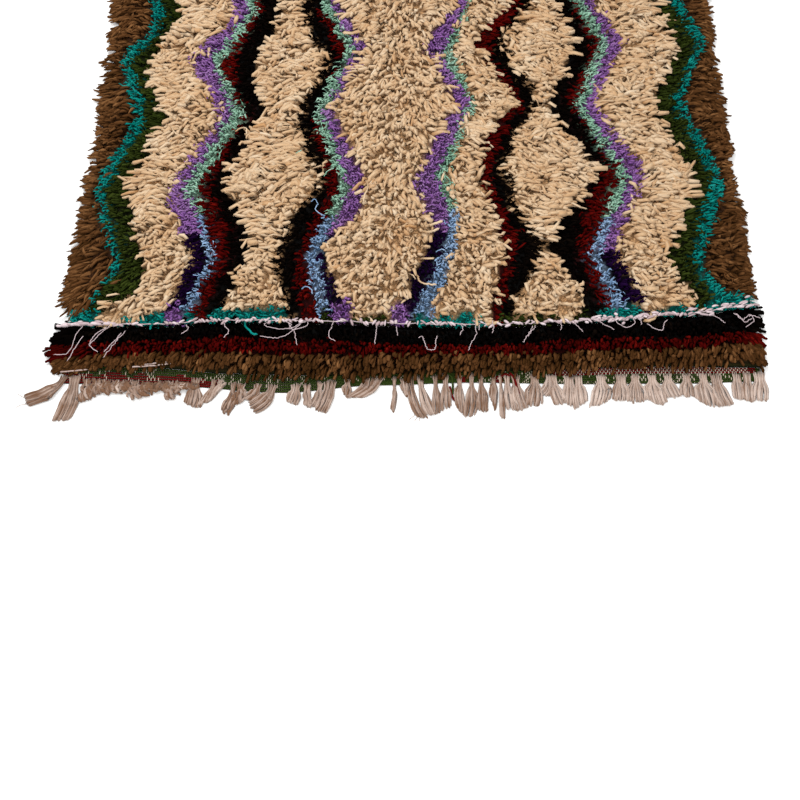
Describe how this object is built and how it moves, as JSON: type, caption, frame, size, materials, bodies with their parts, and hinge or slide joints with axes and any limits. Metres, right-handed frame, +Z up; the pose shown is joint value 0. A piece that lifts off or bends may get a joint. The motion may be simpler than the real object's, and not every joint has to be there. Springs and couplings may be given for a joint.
{
  "type": "hand-knotted rug",
  "caption": "Deep-pile hand-knotted wool rug with zigzag and lozenge pattern, whipped-on end border, flat-woven band and cotton warp fringe, lying flat.",
  "frame": {"origin": "under the middle of the rug, on the surface it lies on", "axes": "+X across the rug to the right, +Y along the rug from its fringed end, +Z up through the pile"},
  "size_m": [1.2527, 1.8166, 0.0324],
  "materials": {
    "field_pile": "soft matt wool pile, cream, black, red, purple, mint, green and teal",
    "border_pile": "soft matt wool pile, brown, dark red and black",
    "whipping": "loosely plied pinkish white wool",
    "green_weave": "flat-woven green and dark red wool over white warps",
    "warp_cotton": "undyed plied cotton",
    "plain_weave": "flat-woven undyed wool over cotton warps"
  },
  "bodies": {
    "root": {"pile_field": "field_pile", "end_border": "border_pile", "whipping_yarn": "whipping", "near_flat_weave": "green_weave", "warp_fringe": "warp_cotton", "far_flat_weave": "plain_weave"}
  },
  "joints": []
}
